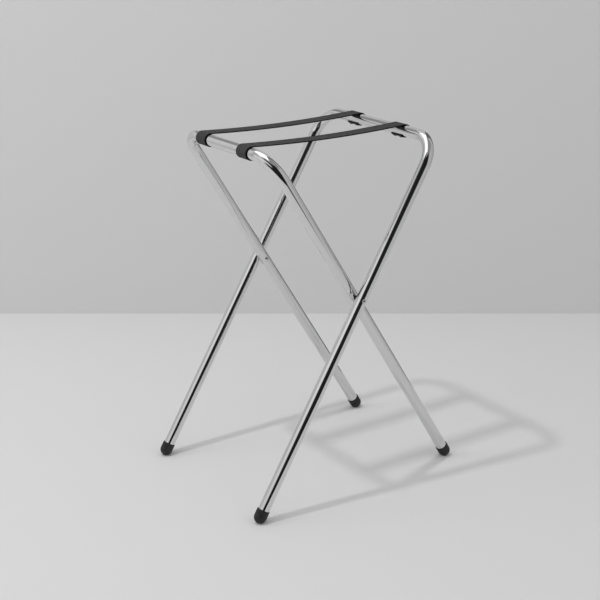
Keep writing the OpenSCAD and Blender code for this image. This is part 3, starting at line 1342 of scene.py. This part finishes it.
@dataclass(frozen=True)
class Studio:
    """Pale floor, plain wall, even room light and the lamps."""

    reach: float = 9.0
    wall_distance: float = 1.0316
    wall_height: float = 4.0
    wall_azimuth: float = VIEW_TURN
    floor_tone: float = 0.70
    wall_tone: float = 0.645
    fill_tone: float = 0.74
    room_tone: float = 0.53
    backdrop_tone: float = 0.50
    ceiling_tone: float = 0.3
    ceiling_edge: Pair = (0.60, 0.76)
    pale_side: MirroredPatch = MirroredPatch(0.86, (-142, -130, -98, -90), (-2, 0, 13, 19))
    unlit: MirroredPatch = MirroredPatch(0.015, (-94, -82, 5, 15), (-90, -89, 46, 58))
    # Painted shade on the floor far ahead, seen only in reflections.
    unlit_floor: Pair = (1.0, 1.5)
    # Painted shade on the wall towards its right end, seen only in reflections.
    dim_tone: float = 0.17
    dim_wall: Edges = (0.45, 0.6, 1.1, 1.35)
    card_tone: float = 0.42
    card_back: float = 0.71
    card_corners: tuple[Pair, ...] = ((-0.31, 1.125), (0.25, 1.05), (0.25, 1.555), (-0.31, 1.555))
    panel: MirroredPatch = MirroredPatch(0.88, (-130, -90, -59, -49), (13, 20, 34, 40))
    panel_low_tone: float = 0.70
    panel_glow: Pair = (20, 31)
    panel_slope: float = 0.47
    panel_top: Pair = (0, 5)
    lamps: tuple[SoftBox, ...] = (
        SoftBox("key_lamp", (-1.35, 0.16, 4.2), (0, 0, 0.2), 0.2, 38.0, Lights.MATT),
        SoftBox("left_fill", (-2.7, 1.35, 2.0), (0.2, 0.3, 0.4), 1.6, 14.0, Lights.MATT),
        SoftBox("overhead_box", (-0.5, 0.4, 2.5), (-0.4, 0.3, 0.4), 1.7, 10.5, Lights.POLISHED),
    )

    def build(self) -> None:
        """Make the floor, the wall, the card, the room's light and the lamps."""
        wall_turn = Matrix.Rotation(self.wall_azimuth, 4, "Z")
        reach, far, top = self.reach, self.wall_distance, self.wall_height
        floor = [(-reach, -reach, 0), (reach, -reach, 0), (reach, reach, 0), (-reach, reach, 0)]
        wall = [(-reach, far, 0), (reach, far, 0), (reach, far, top), (-reach, far, top)]
        self.sheet("pale_floor", floor, self.floor_paper())
        self.sheet("plain_wall", [wall_turn @ Vector(p) for p in wall], self.wall_paper())
        self.card()
        self.room()
        for lamp in self.lamps:
            lamp.build()

    @staticmethod
    def sheet(name: str, corners: Sequence[Any], material: Material) -> Object:
        """Flat sheet of the studio.

        Args:
            name: Name of the sheet.
            corners: Its corners, in order.
            material: Its material.

        Returns:
            The sheet.
        """
        mesh = bpy.data.meshes.new(name)
        mesh.from_pydata([tuple(c) for c in corners], [], [tuple(range(len(corners)))])
        mesh.materials.append(material)
        return add_object(name, mesh)

    def card(self) -> Object:
        """Dim card above and behind the stand, which only polished faces mirror.

        Returns:
            The card.
        """
        corners = [(x, self.card_back, z) for x, z in self.card_corners]
        made = self.sheet("dim_card", corners, self.paper("card_paper", self.card_tone)[0])
        made.visible_camera = made.visible_diffuse = made.visible_shadow = False
        return made

    @staticmethod
    def paper(name: str, tone: float) -> tuple[Material, Graph, Node]:
        """Plain matt paper.

        Args:
            name: Name of the material.
            tone: Grey of the paper.

        Returns:
            The material, its graph and its shader.
        """
        made = bpy.data.materials.new(name)
        made.use_nodes = True
        shader = made.node_tree.nodes["Principled BSDF"]
        look = {"Base Color": (*grey(tone), 1.0), "Roughness": 1.0, "Specular IOR Level": 0.0}
        for socket, value in look.items():
            shader.inputs[socket].default_value = value
        return made, Graph(made.node_tree), shader

    @staticmethod
    def mirror_as(graph: Graph, shader: Node, mask: NodeSocket, tones: Pair) -> None:
        """Give a paper a second tone inside a mask, which only polished faces mirror; both papers
        use it for a darker painted shade.
        """
        seen = graph.times(mask, graph.add("ShaderNodeLightPath").outputs["Is Glossy Ray"])
        graph.put(shader.inputs["Base Color"], graph.tint(seen, *map(grey, tones)))

    @staticmethod
    def heading(graph: Graph, axes: Mapping[str, NodeSocket]) -> tuple[NodeSocket, NodeSocket]:
        """Distance ahead of the stand, and the turn from straight ahead in degrees."""
        ahead = graph.times(axes["Y"], -1.0)
        return ahead, graph.math("DEGREES", graph.math("ARCTAN2", axes["X"], ahead))

    def floor_paper(self) -> Material:
        """Paper of the floor, which mirrors as dark where it runs into the unlit part of the room:
        painted shade that only polished faces see.

        Returns:
            The material.
        """
        made, graph, shader = self.paper("floor_paper", self.floor_tone)
        where = graph.add("ShaderNodeTexCoord").outputs["Object"]
        ahead, turn = self.heading(graph, graph.add("ShaderNodeSeparateXYZ", {0: where}).outputs)
        # Painted shade: far ahead of the stand, the floor turns dark for glossy rays.
        far = graph.ramp(ahead, self.unlit_floor)
        mask = graph.times(graph.between(turn, self.unlit.turn), far)
        self.mirror_as(graph, shader, mask, (self.floor_tone, self.unlit.tone))
        return made

    def wall_paper(self) -> Material:
        """Paper of the wall, which is clear from behind and mirrors as dim towards its right end:
        painted shade that only polished faces see.

        Returns:
            The material.
        """
        made, graph, shader = self.paper("wall_paper", self.wall_tone)
        rightwards = (cos(self.wall_azimuth), sin(self.wall_azimuth), 0)
        ends = {0: graph.add("ShaderNodeTexCoord").outputs["Object"], 1: rightwards}
        along = graph.add("ShaderNodeVectorMath", ends, operation="DOT_PRODUCT").outputs["Value"]
        # Painted shade: towards its right end, the wall turns dim for glossy rays.
        mask = graph.between(along, self.dim_wall)
        self.mirror_as(graph, shader, mask, (self.wall_tone, self.dim_tone))
        behind = graph.add("ShaderNodeNewGeometry").outputs["Backfacing"]
        clear = graph.add("ShaderNodeBsdfTransparent").outputs["BSDF"]
        mixed = graph.add("ShaderNodeMixShader", {0: behind, 1: shader.outputs["BSDF"], 2: clear})
        graph.put(graph.tree.nodes["Material Output"].inputs["Surface"], mixed.outputs[0])
        return made

    def mirrored_room(self, graph: Graph) -> NodeSocket:
        """Room that the metal mirrors: a dim ceiling, a pale side, an unlit part, a bright panel.

        Args:
            graph: Graph of the room's light.

        Returns:
            Colour of the room in the ray's direction.
        """
        way = graph.add("ShaderNodeTexCoord").outputs["Generated"]
        axes = graph.add("ShaderNodeSeparateXYZ", {0: way}).outputs
        _, turn = self.heading(graph, axes)
        rise = graph.math("DEGREES", graph.math("ARCSINE", axes["Z"]))
        high = graph.ramp(axes["Z"], self.ceiling_edge)
        seen = graph.tint(high, grey(self.room_tone), grey(self.ceiling_tone))
        for patch in (self.pale_side, self.unlit):
            seen = graph.tint(patch.mask(graph, turn, rise), seen, grey(patch.tone))
        above = graph.math("ADD", rise, graph.times(turn, self.panel_slope))
        below_top = graph.ramp(above, self.panel_top, (1.0, 0.0))
        glow = graph.ramp(rise, self.panel_glow, (self.panel_low_tone, self.panel.tone))
        return graph.tint(graph.times(self.panel.mask(graph, turn, rise), below_top), seen, glow)

    def room(self) -> None:
        """Even light of the room, the room that the metal mirrors and the backdrop of the stage."""
        world = bpy.data.worlds.new("studio_room")
        world.use_nodes = True
        bpy.context.scene.world = world
        graph = Graph(world.node_tree)
        ray = graph.add("ShaderNodeLightPath").outputs
        lit = graph.tint(ray["Is Glossy Ray"], grey(self.fill_tone), self.mirrored_room(graph))
        shown = graph.tint(ray["Is Camera Ray"], lit, grey(self.backdrop_tone))
        graph.put(graph.tree.nodes["Background"].inputs["Color"], shown)


def clear_scene() -> None:
    """Remove the objects that a new scene starts with."""
    for made in list(bpy.data.objects):
        bpy.data.objects.remove(made)


def main() -> None:
    """Load the solids and dress them, sub-assembly by sub-assembly."""
    logging.basicConfig(level=logging.INFO, format="%(name)s: %(message)s")
    clear_scene()
    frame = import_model()
    bpy.context.scene.view_settings.view_transform = "Standard"
    stance = Stance()
    PhotoCamera().build()
    for leg in Leg:
        BentFrame(stance, leg).build()
    for side in Side:
        Pivot(stance, side).build(frame["nodes"])
        Strap(stance, side).build()
        for leg in Leg:
            StrapFastening(stance, leg, side).build()
            FootCap(stance, leg, side).build()
    Studio().build()


if __name__ == "__main__":
    main()
